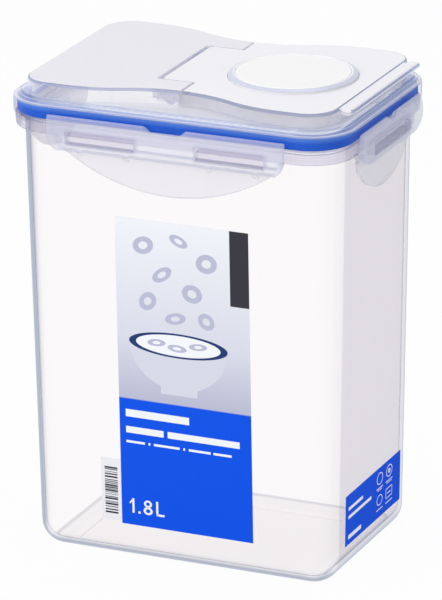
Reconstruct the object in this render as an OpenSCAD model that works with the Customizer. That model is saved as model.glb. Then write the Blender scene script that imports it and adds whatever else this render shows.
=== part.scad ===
// Tall food keeper with a lid held by four latch flaps and a flip-top pouring cap.
// Millimetres, +Z up. The origin is the centre of the foot, on the surface that the keeper stands on.
// Most profiles are drawn in (u, z): u is the distance outwards from the outline of the lid's rim, so a
// wall that stands inside the rim has a negative u, and z is the height above the standing surface.

/* [Outline] */
// Width over the lid's rim, along X
rim_w = 147; // [130:1:170]
// Depth over the lid's rim, along Y
rim_d = 102; // [92:1:120]
// Radius of the rim's upright corners
rim_r = 19.1; // [17.5:0.1:22]

/* [Tub] */
// Height of the tub's flange, where the lid seats
seat_z = 185.6; // [90:0.1:230]
// Thickness of the tub's walls
wall_t = 1.6; // [1.2:0.1:1.8]
// Thickness of the tub's floor
floor_t = 2.2; // [1.8:0.1:3]
// Lean of the tub's walls from upright, in degrees
draft_a = 1.1; // [0.4:0.1:1.4]
// How far the tub's wall stands inside the rim's outline at the flange
wall_in = 4.4; // [4.3:0.1:4.8]
// Radius of the rounded edge between walls and floor
foot_r = 10; // [6:0.5:10]
// Height of the wall's lip above the flange
lip_h = 2.8; // [2:0.1:3]
// How far the flange's edge stays inside the rim's outline
flange_in = 0.7; // [0.6:0.1:1]
// Thickness of the flange and of its turned-down edge
flange_t = 1.4; // [1.2:0.1:1.6]
// Height of the flange with its turned-down edge
flange_h = 5.2; // [4.8:0.1:5.6]
// Depth of the hollow under the floor
foot_hollow = 0.6; // [0.3:0.1:0.8]
// Width of the flat ring that the tub stands on
foot_w = 4; // [3:0.5:8]
// Height of the bead along the flange's top edge
bead_h = 1.1; // [0.9:0.1:1.3]
// Depth of the shallow grooves in the flange's turned-down edge
groove_t = 0.2; // [0.1:0.05:0.25]

/* [Catches] */
// Height of a catch's flat underside below the flange's top
catch_drop = 7.6; // [7.4:0.1:7.8]
// How far a catch reaches beyond the rim's outline
catch_out = 2.1; // [1.7:0.1:2.2]
// Height of a catch's upright face
catch_face = 3; // [2.5:0.1:3.2]
// Height of a catch's sloping top
catch_ramp = 1.9; // [1.5:0.1:2.1]

/* [Lid] */
// Height of the lid's skirt
skirt_h = 6.4; // [6:0.1:7]
// Thickness of the skirt
skirt_t = 1.5; // [1.3:0.1:1.6]
// Radius of the skirt's rounded top edge
skirt_edge = 0.7; // [0.4:0.1:0.9]
// Thickness of the rim above the gasket
rim_t = 0.7; // [0.6:0.05:0.8]
// Width of the rim's flat top
rim_flat = 1.5; // [1.3:0.1:1.7]
// Width of the tread between the two steps
tread = 1; // [0.8:0.1:1.2]
// How far each step leans inwards
step_lean = 0.45; // [0.3:0.05:0.6]
// Height of the first step above the rim
step_one = 1.1; // [0.8:0.1:1.4]
// Height of the second step, up to the deck
step_two = 1; // [0.8:0.1:1.4]
// Thickness of the deck
deck_t = 1.8; // [1.6:0.1:2]
// Thickness of the wall that plugs the tub's mouth
plug_t = 1.4; // [1.2:0.1:1.8]
// Depth of the plugging wall below the flange's top
plug_drop = 1.1; // [0.8:0.1:1.6]

/* [Raised top] */
// Length of the raised top, along X
top_l = 133.2; // [128:0.1:135]
// Depth of the raised top at its ends, along Y
top_d = 93.2; // [90:0.1:94]
// Height of the raised top above the deck
top_h = 6; // [5.5:0.1:7]
// Radius of the raised top's end corners
top_r = 12.5; // [11:0.1:14]
// Depth of the waist on each side
waist_dip = 9.8; // [6:0.1:11]
// Half the length of the waist
waist_half = 46; // [40:0.5:50]
// Radius of the rounded upper edge
top_edge = 1.2; // [0.6:0.1:1.3]
// Thickness of the raised top's upright walls
top_wall = 1.4; // [1.3:0.1:1.6]
// Thickness of the raised top's plate
top_t = 1.6; // [1.4:0.1:1.8]

/* [Flip hinge] */
// Place of the hinge axis along X
hinge_x = -7.5; // [-9:0.1:-6]
// Height of the hinge axis below the raised top
hinge_drop = 3.3; // [3.2:0.1:3.6]
// Half the width of the hinge tongue's notch in the fixed half
notch_half = 24.4; // [22:0.1:26]
// Distance from the hinge axis back to the notch's edge
notch_back = 8.2; // [8:0.1:9]
// Distance from the hinge axis back to the tongue's heel
heel_back = 6.2; // [5.8:0.1:6.3]
// Distance from the hinge axis forwards to the ends of the fixed half's ears
ear_front = 7.2; // [7:0.1:7.4]
// Radius of the hinge pins
pin_r = 1.6; // [1.4:0.1:1.8]
// Length of a hinge pin inside its ear
pin_l = 2.5; // [2:0.1:3]
// Radius of the trough that the heel swings through
trough_r = 7.5; // [7.4:0.1:7.8]
// Radius of the rounded ends of the tongue's ribs
rib_r = 2.6; // [2.4:0.1:2.7]
// Thickness of the tongue's ribs
rib_t = 1.6; // [1.4:0.1:1.8]

/* [Spout] */
// Place of the pouring hole along X
spout_x = 32.7; // [31:0.1:34]
// Radius of the pouring hole in the deck
spout_r = 22; // [20:0.1:23]
// Thickness of the spout seal inside the hole
seal_t = 1.45; // [1.2:0.05:1.6]
// Width of the seal's upper flange beyond the hole
seal_over = 2.2; // [1.6:0.1:2.4]
// Height of the seal above the deck
seal_h = 1.6; // [1.2:0.1:1.8]
// Thickness of the seal's lower flange, below the deck
seal_under = 1.2; // [0.9:0.1:1.4]
// How far the white plug reaches below the deck's top
plug_reach = 2.9; // [2.4:0.1:3.4]
// Radius of the white disc's broad ring
disc_r = 26; // [25:0.1:27]
// Width of the white disc's bevelled edge
disc_bevel = 2; // [1.5:0.1:2.5]
// Height of the white disc above the raised top
disc_h = 1.6; // [1.2:0.1:1.8]

/* [Lift tab] */
// Half the length of the lift tab
tab_half = 36.5; // [32:0.5:40]
// How far the lift tab reaches beyond the raised top
tab_out = 6.6; // [5:0.1:6.8]
// Radius of the bead along the tab's outer edge
tab_bead = 1; // [0.9:0.05:1.1]
// Thickness of the tab behind its bead
tab_t = 1.4; // [1.2:0.1:1.6]

/* [Flaps] */
// Height of a flap's hinge line above the flange's top
flap_rise = 2.9; // [2.6:0.1:3.1]
// Half the length of the front and back flaps
long_half = 50.9; // [47:0.1:53]
// Half the length of the side flaps
short_half = 30; // [27:0.1:31]
// Thickness of a flap at its hinge line
flap_t = 1.6; // [1.4:0.1:1.7]
// How far the middle of a flap's outer face bulges beyond its hinge line
belly = 0.9; // [0.6:0.1:1]
// Depth of a flap from its hinge line to the underside of its hook bar
flap_box = 13.1; // [12.9:0.1:13.3]
// Thickness of the hook bar
bar_t = 2.2; // [1.8:0.1:2.3]
// Thickness of a flap's finger tongue
tongue_t = 1.4; // [1.2:0.1:1.6]
// How far the tongue's end hangs below the hinge line on the front and back
long_reach = 28.3; // [25:0.1:32]
// How far the tongue's end hangs below the hinge line on the sides
short_reach = 28.3; // [25:0.1:32]
// Length of a long flap's upright ends, below the hinge line
long_end = 6.5; // [5.5:0.1:8]
// Radius of the corners below a long flap's upright ends
long_corner = 8; // [6:0.5:10]
// Radius of a side flap's lower corners
short_corner = 8; // [6.5:0.5:9]
// Half the width of a side flap's tongue
short_tongue = 26.5; // [22:0.5:27.5]
// Radius of the corners at the top of a side flap's tongue
tongue_corner = 8.5; // [7:0.5:10]
// Distance from a long flap's middle to the middle of each window
window_mid = 27.9; // [26.5:0.1:29]
// Length of a catch behind a long flap
long_catch = 29.2; // [24:0.1:30]
// Length of a catch behind a side flap
short_catch = 40; // [32:0.2:42]
// Half the width of the notch's floor at the top of a long flap
long_notch = 6.4; // [5:0.1:8]
// Half the width of the notch's floor at the top of a side flap
short_notch = 1.6; // [1.2:0.1:2.4]
// Depth of both notches below the hinge line
notch_drop = 1.5; // [1.2:0.1:1.8]
// Thickness of the small ribs under the hook bar
gusset_t = 2; // [1.4:0.1:2.4]
// Depth of the small ribs under the hook bar
gusset_h = 3; // [2.4:0.1:3.6]

/* [Labels] */
// Thickness of the labels
label_t = 0.12; // [0.08:0.01:0.2]
// Width of the front label
front_w = 58; // [40:1:64]
// Height of the front label
front_h = 132.2; // [60:0.1:140]
// Place of the front label's middle along X
front_x = 3.8; // [0:0.1:8]
// Height of the front label's lower edge
front_z = 16.1; // [12:0.1:30]
// Width of the bar-code sticker
code_w = 8.7; // [6:0.1:12]
// Height of the bar-code sticker
code_h = 27; // [20:1:34]
// Width of the side label
side_w = 57.8; // [40:0.1:60]
// Height of the side label
side_h = 21.7; // [14:0.1:30]
// Place of the side label's middle along Y
side_y = 2; // [0:0.1:2]
// Height of the side label's lower edge
side_z = 13.3; // [12:0.1:30]

/* [Hidden] */
$fn = 96;
// Clearance between pieces that part or turn
gap = 0.3;
// Clearance between a flap's window and its catch, and round the flange's edge
catch_gap = 0.4;
// Clearance of pieces that are pressed or set into one another
fit = 0.05;
// Overlap that makes joined solids one
lap = 0.5;
// Middle of each rounded corner of the rim
corner_x = rim_w / 2 - rim_r;
corner_y = rim_d / 2 - rim_r;
// Heights of the lid
skirt_z = seat_z + gap;
rim_z = skirt_z + skirt_h;
deck_z = rim_z + step_one + step_two;
top_z = deck_z + top_h;
ceiling_z = rim_z - rim_t;
// The wall's lip, the groove for the gasket and the plugging wall
lip_z = seat_z + lip_h;
lip_in = wall_in + wall_t;
floor_u = 0.3 - rim_r;
// Radius of the corners of the slab that fills the floor, and of the hollow under it
core_r = 0.8;
hollow_r = 6;
hollow_u = -wall_in - seat_z * tan(draft_a) - foot_r - foot_w;
plug_in = lip_in + gap;
deck_in = plug_in + plug_t;
// The hinge axis of the flip cap
hinge_z = top_z - hinge_drop;
pin_hole_r = pin_r + fit;
tongue_y = notch_half - lap;
heel_corner = 2.5;
// Half the length of the block that carries a hinge pin, and the wall beyond the pin's hole
boss_half = 4;
boss_wall = 1.6;
// The white plug's spigot, and the depth of the disc's seat in the cap's plate
plug_hole_r = spout_r + 0.5;
disc_seat = 0.8;
collar_h = 1.8;
collar_t = 1.6;
plug_wall = 2;
seal_in = spout_r - fit - seal_t;
// The flip cap's edge beside the ears, and its lower edge
cap_x = hinge_x + ear_front + 1.2;
cap_z = deck_z + gap;
// The arcs of the waist: one bulges in at the middle and meets one that bulges out on each side
top_hx = top_l / 2;
top_hy = top_d / 2;
waist_r = (pow(waist_half / 2, 2) + pow(waist_dip / 2, 2)) / waist_dip;
waist_a = 2 * atan(waist_dip / waist_half);
// The flaps: their faces are arcs about a line inside the keeper, and what lies inwards of the plate
// is drawn in by tuck at the ends
flap_u = gap;
face_u = flap_u + flap_t;
flap_axis_u = flap_u + flap_t / 2;
flap_axis_z = seat_z + flap_rise;
bar_z = flap_axis_z - flap_box;
bar_top = bar_z + bar_t;
belly_drop = flap_box * 0.55;
belly_r = (pow(belly_drop + gap, 2) + pow(belly, 2)) / (2 * belly);
belly_z = flap_axis_z - belly_drop;
tongue_u = -3.2;
tuck = 1.2;
notch_top = 2;
notch_slope = 1.2;
catch_z = seat_z - catch_drop;
window_top = catch_z + catch_face + catch_ramp + catch_gap * 2;
flange_z = seat_z - flange_h;
// Heights of the groove below the flange's bead and of the stepped-in strip at its lower edge
groove_h = 0.8;
foot_step = 2;

// Sweeps a (u, z) profile along the rim's outline: four turned corners and four straight runs
module around() {
    for (sx = [0, 1], sy = [0, 1])
        mirror([sx, 0, 0]) mirror([0, sy, 0])
            translate([corner_x, corner_y, 0])
                rotate_extrude(angle = 90) translate([rim_r, 0]) children();
    for (side = [0, 1])
        rotate(side * 180) {
            translate([rim_w / 2, 0, 0]) rotate([90, 0, 0])
                linear_extrude(corner_y * 2, center = true) children();
            rotate(90) translate([rim_d / 2, 0, 0]) rotate([90, 0, 0])
                linear_extrude(corner_x * 2, center = true) children();
        }
}

// A level slab whose edge lies at the offset u from the rim's outline, with corners of radius r
module slab(u, z0, z1, r) {
    mid_x = rim_w / 2 + u - r;
    mid_y = rim_d / 2 + u - r;
    translate([0, 0, z0]) linear_extrude(z1 - z0) {
        square([mid_x * 2, (mid_y + r) * 2], center = true);
        square([(mid_x + r) * 2, mid_y * 2], center = true);
        for (x = [-mid_x, mid_x], y = [-mid_y, mid_y])
            translate([x, y]) circle(r);
    }
}

// Half section of a tub-shaped solid: a leaning wall, and a rounded edge down to a floor at z0
module tub_section(inset, z0, z1, in_u) {
    lean = tan(draft_a);
    r = foot_r - inset;
    wall_u = -wall_in - inset / cos(draft_a);
    foot_u = wall_u - (seat_z - z0) * lean;
    mid_u = foot_u + r * lean - r / cos(draft_a);
    polygon([
        [in_u, z0],
        [mid_u, z0],
        [mid_u, z0 + r],
        [mid_u + r * cos(draft_a), z0 + r - r * sin(draft_a)],
        [wall_u + (z1 - seat_z) * lean, z1],
        [in_u, z1]
    ]);
    intersection() {
        translate([mid_u, z0 + r]) circle(r);
        square_between(in_u, 0, z0, z0 + r);
    }
}

// Section of the tub's wall, lip and flange; two shallow grooves run round the flange's edge
module tub_profile() {
    difference() {
        union() {
            tub_section(0, 0, seat_z, floor_u);
            translate([-lip_in - 0.3, seat_z - flange_t]) square([lip_in + 0.3 - wall_in, lip_h + flange_t]);
            translate([-wall_in - lap, seat_z - flange_t])
                square([wall_in + lap - flange_in, flange_t]);
            translate([-flange_in - flange_t, flange_z]) square([flange_t, flange_h]);
        }
        tub_section(wall_t, floor_t, lip_z + 1, floor_u - 1);
        square_between(-flange_in - groove_t, 0, flange_z - lap, flange_z + foot_step);
        square_between(-flange_in - groove_t, 0, seat_z - bead_h - groove_h, seat_z - bead_h);
    }
}

// A catch: flat below, where the flap's hook bar holds, and sloping above, where the bar slides on
module catch(length) {
    root_u = -flange_in - flange_t;
    rotate([90, 0, 90]) linear_extrude(length, center = true)
        polygon([
            [root_u, catch_z],
            [catch_out, catch_z],
            [catch_out, catch_z + catch_face],
            [root_u, catch_z + catch_face + catch_ramp]
        ]);
}

// Puts a child that is drawn facing +Y on one side of the keeper
module on_side(turn) {
    reach = (turn % 180 == 0) ? rim_d / 2 : rim_w / 2;
    rotate(turn) translate([0, reach, 0]) children();
}

module tub() {
    color("WhiteSmoke") {
        difference() {
            union() {
                around() tub_profile();
                slab(floor_u + lap, 0, floor_t, core_r);
            }
            slab(hollow_u, -1, foot_hollow, hollow_r);
        }
        for (turn = [0, 180], side = [-1, 1])
            on_side(turn) translate([side * window_mid, 0, 0]) catch(long_catch);
        for (turn = [90, 270])
            on_side(turn) catch(short_catch);
    }
}

// A block centred on the Z axis between two heights
module cube_block(x, y, z0, z1) {
    translate([-x / 2, -y / 2, z0]) cube([x, y, z1 - z0]);
}

// Section of the lid from the skirt's edge in to the plugging wall
module lid_profile() {
    square_between(-skirt_t, 0, skirt_z, rim_z - skirt_edge);
    square_between(-skirt_t, -skirt_edge, skirt_z, rim_z);
    translate([-skirt_edge, rim_z - skirt_edge]) circle(skirt_edge);
    polygon([
        [-skirt_edge, ceiling_z],
        [-skirt_edge, rim_z],
        [-rim_flat, rim_z],
        [-rim_flat - step_lean, rim_z + step_one],
        [-rim_flat - step_lean - tread, rim_z + step_one],
        [-rim_flat - step_lean * 2 - tread, deck_z],
        [-deck_in - lap, deck_z],
        [-deck_in - lap, deck_z - deck_t],
        [-plug_in, deck_z - deck_t],
        [-plug_in, ceiling_z]
    ]);
    square_between(-deck_in, -plug_in, seat_z - plug_drop, deck_z);
}

// A rectangle between two values of u and two of z
module square_between(u0, u1, z0, z1) {
    translate([u0, z0]) square([u1 - u0, z1 - z0]);
}

// Plan of the raised top, drawn in by inset all round: end corners, and a waist of three arcs a side
module top_plan(inset) {
    turn_x = (waist_r + inset) * sin(waist_a);
    difference() {
        union() {
            square([(top_hx - inset) * 2, (top_hy - top_r) * 2], center = true);
            square([(top_hx - top_r) * 2, (top_hy - inset) * 2], center = true);
            for (x = [-1, 1], y = [-1, 1])
                translate([x * (top_hx - top_r), y * (top_hy - top_r)]) circle(top_r - inset);
        }
        for (side = [0, 1])
            mirror([0, side]) {
                intersection() {
                    translate([0, top_hy - waist_dip + waist_r]) circle(waist_r + inset, $fn = 240);
                    square_between(-turn_x, turn_x, top_hy - waist_dip - 5, top_hy + 5);
                }
                for (end = [0, 1])
                    mirror([end, 0]) difference() {
                        square_between(turn_x - 0.01, waist_half, top_hy - waist_dip, top_hy + 5);
                        translate([waist_half, top_hy - waist_r]) circle(waist_r - inset, $fn = 240);
                    }
            }
    }
}

// Points of one arc: centre, radius, first and last angle, and the number of chords
function arc(x, y, r, from, to, n) =
    [for (i = [0 : n]) let (a = from + (to - from) * i / n) [x + r * cos(a), y + r * sin(a)]];

// The raised top's outline as points, drawn in by inset; a quarter of it, then its mirror images
function top_quarter(inset) = concat(
    arc(top_hx - top_r, top_hy - top_r, top_r - inset, 0, 90, 9),
    arc(waist_half, top_hy - waist_r, waist_r - inset, 90, 90 + waist_a, 8),
    arc(0, top_hy - waist_dip + waist_r, waist_r + inset, 270 + waist_a - 3, 270, 7)
);
function backwards(list) = [for (i = [len(list) - 1 : -1 : 0]) list[i]];
function top_half(inset) = let (q = top_quarter(inset), n = len(q))
    concat(q, [for (p = backwards([for (i = [0 : n - 2]) q[i]])) [-p[0], p[1]]]);
function top_outline(inset) = let (h = top_half(inset))
    concat(h, [for (p = h) [-p[0], -p[1]]]);

// The raised top as a solid from z0 up: its outline lofted up the wall and over the rounded edge
module top_body(z0) {
    levels = concat([[0, z0]],
        [for (a = [0 : 22.5 : 90]) [(1 - cos(a)) * top_edge, top_z - (1 - sin(a)) * top_edge]]);
    n = len(top_outline(0));
    last = len(levels) - 1;
    polyhedron(
        points = [for (v = levels) for (p = top_outline(v[0])) [p[0], p[1], v[1]]],
        faces = concat(
            [for (i = [0 : n / 2 - 2]) [i, i + 1, n - 2 - i, n - 1 - i]],
            [for (k = [0 : last - 1]) for (i = [0 : n - 1])
                [k * n + i, (k + 1) * n + i, (k + 1) * n + (i + 1) % n, k * n + (i + 1) % n]],
            [for (i = [0 : n / 2 - 2])
                [last * n + n - 1 - i, last * n + n - 2 - i, last * n + i + 1, last * n + i]]
        )
    );
}

// A piece of the raised top from z0 up: child 0 is its plan, child 1 the plan of the hollow below its plate
module top_piece(z0) {
    difference() {
        intersection() {
            top_body(z0);
            translate([0, 0, z0 - 1]) linear_extrude(top_z - z0 + 2) children(0);
        }
        translate([0, 0, z0 - 1]) linear_extrude(top_z - top_t - z0 + 1) children(1);
    }
}

// Plan of the fixed half, drawn in by inset at its cut edges: its body and the two hinge ears
module fixed_plan(inset) {
    ear_y = notch_half + inset;
    difference() {
        square_between(-top_hx - 1, hinge_x + ear_front - inset, -top_hy - 1, top_hy + 1);
        square_between(hinge_x - notch_back - inset, hinge_x + ear_front + 1, -ear_y, ear_y);
    }
}

// Plan of the flip cap: everything in front of the ears, and the hinge tongue between them
module cap_plan() {
    heel_x = hinge_x - heel_back;
    r = heel_corner;
    square_between(cap_x, top_hx + 1, -top_hy - 1, top_hy + 1);
    square_between(heel_x + r, cap_x + 1, -tongue_y, tongue_y);
    square_between(heel_x, cap_x, r - tongue_y, tongue_y - r);
    for (y = [-1, 1])
        translate([heel_x + r, y * (tongue_y - r)]) circle(r);
}

// Plan of what is open below the cap's plate: the cap's inside, and the space under the tongue
module cap_hollow() {
    intersection() {
        top_plan(top_wall);
        square_between(cap_x + top_wall, top_hx, -top_hy, top_hy);
    }
    square_between(-top_hx, cap_x, -top_hy, top_hy);
}

module lid() {
    color("Lavender") difference() {
        union() {
            difference() {
                union() {
                    around() lid_profile();
                    slab(-deck_in, deck_z - deck_t, deck_z, rim_r - deck_in);
                    // Outer skin of the heel's trough, closed at its ends
                    intersection() {
                        hinge_bar(trough_r + top_t, notch_half + top_t);
                        cube_block(rim_w, rim_d, 0, deck_z);
                    }
                }
                // The fixed half is hollow from below
                translate([0, 0, deck_z - deck_t - 1]) linear_extrude(deck_t + 2) fixed_hollow();
            }
            top_piece(deck_z - lap) {
                fixed_plan(0);
                fixed_hollow();
            }
            // Bosses that carry the hinge pins
            for (side = [0, 1])
                mirror([0, side, 0])
                    translate([hinge_x - boss_half, notch_half + lap, deck_z - lap])
                        cube([boss_half * 2, pin_l + gap + boss_wall, top_z - deck_z]);
        }
        // Trough that the tongue's heel swings through
        hinge_bar(trough_r, notch_half);
        hinge_bar(pin_hole_r, notch_half + pin_l + gap);
        translate([spout_x, 0, deck_z - deck_t - 1]) cylinder(r = spout_r, h = deck_t + 2);
    }
}

// Plan of the hollow below the fixed half's plate
module fixed_hollow() {
    intersection() {
        top_plan(top_wall);
        fixed_plan(top_wall);
    }
}

// A round bar centred on the flip hinge's axis, y_half long to each side
module hinge_bar(r, y_half) {
    translate([hinge_x, y_half, hinge_z]) rotate([90, 0, 0]) cylinder(r = r, h = y_half * 2);
}

// Soft gasket in the lid's groove: a block above the tub's lip, and a leg outside it
module lid_gasket() {
    color("RoyalBlue") around() {
        square_between(-plug_in + fit, -skirt_t - fit, lip_z + gap, ceiling_z - fit);
        square_between(-skirt_t - fit - skirt_t, -skirt_t - fit, skirt_z + gap, lip_z + 1);
    }
}

// Soft ring set in the pouring hole: it grips the deck between two flanges
module spout_seal() {
    under_z = deck_z - deck_t - seal_under;
    color("MidnightBlue") translate([spout_x, 0, 0]) rotate_extrude() {
        square_between(seal_in, spout_r - fit, under_z, deck_z + seal_h);
        square_between(seal_in, spout_r + seal_over, deck_z, deck_z + seal_h);
        square_between(seal_in, spout_r + seal_over / 2, under_z, deck_z - deck_t - fit);
    }
}

// Hinged half of the raised top, with its tongue, pins and lift tab
module flip_cap() {
    color("GhostWhite") difference() {
        union() {
            top_piece(cap_z) {
                cap_plan();
                cap_hollow();
            }
            // Ribs down the tongue's sides, round about the hinge axis
            for (side = [0, 1])
                mirror([0, side, 0]) translate([hinge_x, tongue_y, hinge_z]) rotate([90, 0, 0]) {
                    cylinder(r = rib_r, h = rib_t);
                    translate([-rib_r, 0, 0]) cube([cap_x - hinge_x + rib_r + lap, hinge_drop - lap, rib_t]);
                }
            pins();
            // Collar under the plate round the white plug
            translate([spout_x, 0, top_z - top_t - collar_h])
                cylinder(r = plug_hole_r + collar_t, h = collar_h + lap);
            lift_tab();
        }
        translate([spout_x, 0, cap_z]) cylinder(r = plug_hole_r, h = top_h);
        translate([spout_x, 0, top_z - disc_seat]) cylinder(r = disc_r + gap, h = 2);
    }
}

// The two hinge pins, each reaching from the tongue's side into its ear
module pins() {
    for (side = [0, 1])
        mirror([0, side, 0])
            translate([hinge_x, notch_half + pin_l, hinge_z])
                rotate([90, 0, 0]) cylinder(r = pin_r, h = pin_l + lap + 1);
}

// Lip along the cap's front edge, with rounded ends and a bead along its outer edge
module lift_tab() {
    bead_x = top_hx + tab_out - tab_bead;
    bead_z = top_z - tab_bead - 0.1;
    end_r = tab_bead * 3;
    translate([0, 0, bead_z - tab_t / 2]) linear_extrude(tab_t) {
        square_between(top_hx - top_edge * 2, bead_x, end_r - tab_half, tab_half - end_r);
        for (y = [-1, 1])
            intersection() {
                translate([bead_x - end_r / 2, y * (tab_half - end_r)]) circle(end_r);
                square_between(0, bead_x, -tab_half, tab_half);
            }
    }
    translate([bead_x, tab_half - end_r, bead_z]) rotate([90, 0, 0])
        cylinder(r = tab_bead, h = (tab_half - end_r) * 2);
    for (y = [-1, 1])
        translate([bead_x, y * (tab_half - end_r), bead_z]) sphere(tab_bead);
}

// White press disc with its spigot and the hollow plug that closes the pouring hole
module push_plug() {
    spigot_z = deck_z + seal_h + gap;
    plug_z = deck_z - plug_reach;
    color("White") translate([spout_x, 0, 0]) rotate_extrude()
        difference() {
            union() {
                polygon([
                    [0, top_z - disc_seat],
                    [disc_r, top_z - disc_seat],
                    [disc_r, top_z + disc_h / 2],
                    [disc_r - disc_bevel, top_z + disc_h],
                    [0, top_z + disc_h]
                ]);
                square_between(0, plug_hole_r - fit * 4, spigot_z, top_z);
                polygon([
                    [0, plug_z],
                    [seal_in - gap * 3, plug_z],
                    [seal_in - gap, spigot_z],
                    [0, spigot_z]
                ]);
            }
            square_between(-1, seal_in - gap - plug_wall, plug_z - 1, top_z - disc_seat);
        }
}

// Draws a shape of (x, z) as a plate between two values of u, facing +Y
module plate_between(u0, u1) {
    translate([0, u1, 0]) rotate([90, 0, 0]) linear_extrude(u1 - u0) children();
}

// Outline of a finger tongue below z = top: a small arc at each end and one broad arc between them
module tongue_outline(half, top, depth, end_r) {
    broad_r = (half * half + depth * depth - 2 * half * end_r) / (2 * (depth - end_r));
    mid_z = top - depth + broad_r;
    spread = (broad_r + 5) / (broad_r - end_r);
    intersection() {
        translate([0, mid_z]) circle(broad_r, $fn = 240);
        polygon([
            [0, mid_z],
            [(half - end_r) * spread, mid_z - (mid_z - top) * spread],
            [0, mid_z - broad_r * 2],
            [-(half - end_r) * spread, mid_z - (mid_z - top) * spread]
        ]);
        square_between(-half, half, top - depth, top);
    }
    for (x = [-1, 1])
        intersection() {
            translate([x * (half - end_r), top]) circle(end_r);
            square_between(-half, half, top - depth, top);
        }
}

// Outline of a long flap: upright ends, then one curved edge right round the tongue
module long_outline(inset, reach) {
    edge_z = flap_axis_z - long_end;
    half = long_half - inset;
    square_between(-half, half, edge_z, flap_axis_z);
    tongue_outline(half, edge_z, reach - long_end, long_corner);
}

// Outline of a side flap's box down to low_z, with rounded lower corners
module short_box(inset, low_z) {
    half = short_half - inset;
    r = short_corner;
    square_between(-half, half, low_z + r, flap_axis_z);
    square_between(r - half, half - r, low_z, flap_axis_z);
    for (x = [-1, 1])
        translate([x * (half - r), low_z + r]) circle(r);
}

// Cross-section of a flap's plate: flat inside, and bulging outside
module belly_section() {
    intersection() {
        translate([face_u + belly - belly_r, belly_z]) circle(belly_r, $fn = 240);
        square_between(flap_u, face_u + belly + 1, bar_z, flap_axis_z);
    }
}

// One flap, drawn facing +Y in its closed place. Child 0 is its outline, child 1 the outline of what
// lies inwards of its plate, child 2 the hollow between its closed ends and child 3 its tongue.
module flap(half, windows, window_l, notch_w, ribs) {
    difference() {
        union() {
            intersection() {
                rotate([90, 0, 90]) linear_extrude(half * 2, center = true) belly_section();
                plate_between(0, face_u + belly + 1) children(0);
            }
            plate_between(tongue_u, face_u) above(bar_z) below(bar_top) children(1);
            plate_between(tongue_u, tongue_u + tongue_t) below(bar_top) children(3);
            plate_between(tongue_u, face_u) above(bar_z) below(flange_z - catch_gap)
                difference() {
                    children(1);
                    children(2);
                }
            plate_between(catch_gap - flange_in, face_u) above(bar_z) below(seat_z)
                difference() {
                    children(1);
                    children(2);
                }
            translate([-half, flap_axis_u, flap_axis_z]) rotate([0, 90, 0])
                cylinder(r = flap_t / 2, h = half * 2);
            for (x = ribs)
                translate([x, 0, 0]) gusset();
        }
        for (x = windows)
            translate([x - window_l / 2, flap_u - 1, bar_top])
                cube([window_l, flap_t + belly + 2, window_top - bar_top]);
        notch(notch_w);
    }
}

// Notch at the top of a flap, with sides that slope outwards
module notch(w) {
    wide = w + (notch_drop + notch_top) * notch_slope;
    plate_between(flap_u - 1, face_u + belly + 1)
        polygon([
            [-w, flap_axis_z - notch_drop],
            [w, flap_axis_z - notch_drop],
            [wide, flap_axis_z + notch_top],
            [-wide, flap_axis_z + notch_top]
        ]);
}

// Keeps what lies above a height, or below it, of a shape of (x, z)
module above(z) {
    intersection() {
        children();
        square_between(-rim_w, rim_w, z, rim_z);
    }
}
module below(z) {
    intersection() {
        children();
        square_between(-rim_w, rim_w, 0, z);
    }
}

// Small rib under the hook bar that stiffens the tongue
module gusset() {
    root_u = tongue_u + tongue_t;
    rotate([90, 0, 90]) linear_extrude(gusset_t, center = true)
        polygon([
            [root_u - lap, bar_z + lap],
            [root_u + gusset_t, bar_z + lap],
            [root_u + gusset_t, bar_z - gusset_h / 5],
            [root_u, bar_z - gusset_h],
            [root_u - lap, bar_z - gusset_h]
        ]);
}

module long_flap(turn) {
    window_l = long_catch + catch_gap * 2;
    rib_x = window_mid + window_l / 3;
    color("AliceBlue") on_side(turn)
        flap(long_half, [-window_mid, window_mid], window_l, long_notch,
             [-rib_x, window_l / 3 - window_mid, window_mid - window_l / 3, rib_x]) {
            long_outline(0, long_reach);
            long_outline(tuck, long_reach);
            long_outline(tuck + flap_t, long_reach);
            long_outline(tuck, long_reach);
        }
}

module short_flap(turn) {
    top = bar_z + lap * 2;
    color("AliceBlue") on_side(turn)
        flap(short_half, [0], short_catch + catch_gap * 2, short_notch, [-short_catch / 3, short_catch / 3]) {
            short_box(0, bar_z);
            short_box(tuck, bar_z);
            short_box(tuck + flap_t, bar_z - lap * 2);
            tongue_outline(short_tongue, top, short_reach - flap_box + lap * 2, tongue_corner);
        }
}

module flap_front() {
    long_flap(180);
}

module flap_back() {
    long_flap(0);
}

module flap_left() {
    short_flap(90);
}

module flap_right() {
    short_flap(270);
}

// A thin rectangle that lies on the leaning wall of one side; x is its middle and z its lower edge
module wall_label(turn, x, z, w, h) {
    on_side(turn) translate([0, -wall_in, seat_z]) rotate([-draft_a, 0, 0])
        translate([x - w / 2, fit / 2, (z - seat_z) / cos(draft_a)])
            cube([w, label_t, h]);
}

module front_label() {
    color("DodgerBlue") wall_label(180, -front_x, front_z, front_w, front_h);
}

module barcode_sticker() {
    color("White")
        wall_label(180, front_w / 2 - front_x + 0.2 + code_w / 2, front_z + 0.7, code_w, code_h);
}

module side_label() {
    color("DodgerBlue") wall_label(270, -side_y, side_z, side_w, side_h);
}

tub();
lid();
lid_gasket();
spout_seal();
flip_cap();
push_plug();
flap_front();
flap_back();
flap_left();
flap_right();
front_label();
barcode_sticker();
side_label();
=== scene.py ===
import math

import bmesh
import bpy
import numpy as np
from bpy.props import FloatProperty, FloatVectorProperty, PointerProperty
from mathutils import Matrix, Vector


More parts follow.
